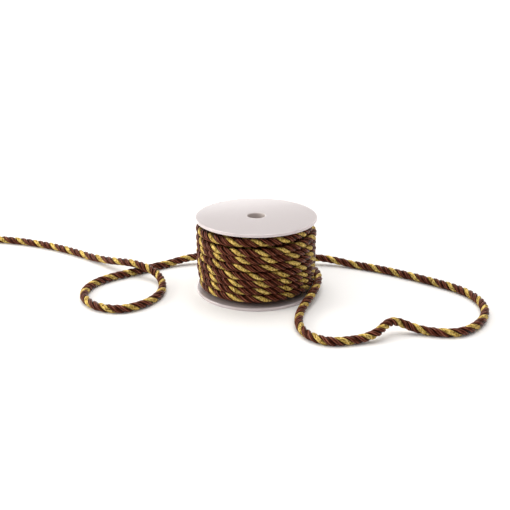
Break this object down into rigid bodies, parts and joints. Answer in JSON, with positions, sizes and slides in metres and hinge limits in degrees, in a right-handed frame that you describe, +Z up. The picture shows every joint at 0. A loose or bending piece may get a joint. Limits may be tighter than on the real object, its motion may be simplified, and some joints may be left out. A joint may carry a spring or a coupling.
{
  "type": "metallic cord on a spool",
  "caption": "Twisted brown and gold metallic cord wound on a round white plastic spool, its loose end lying in loops on the surface, for trimming, tying and gift wrapping.",
  "frame": {"origin": "centre of the spool's lower flange, on the surface it stands on", "axes": "+Z up the spool's bore, -Y towards the camera of the picture, +X to its right"},
  "size_m": [0.2822, 0.1412, 0.0384],
  "materials": {
    "spool_plastic": "translucent white moulded plastic, satin",
    "cord": "brown viscose plies with a silky sheen, twisted with a glittering gold ply"
  },
  "bodies": {
    "root": {"spool": "spool_plastic", "winding": "cord", "loose_cord": "cord"}
  },
  "joints": []
}
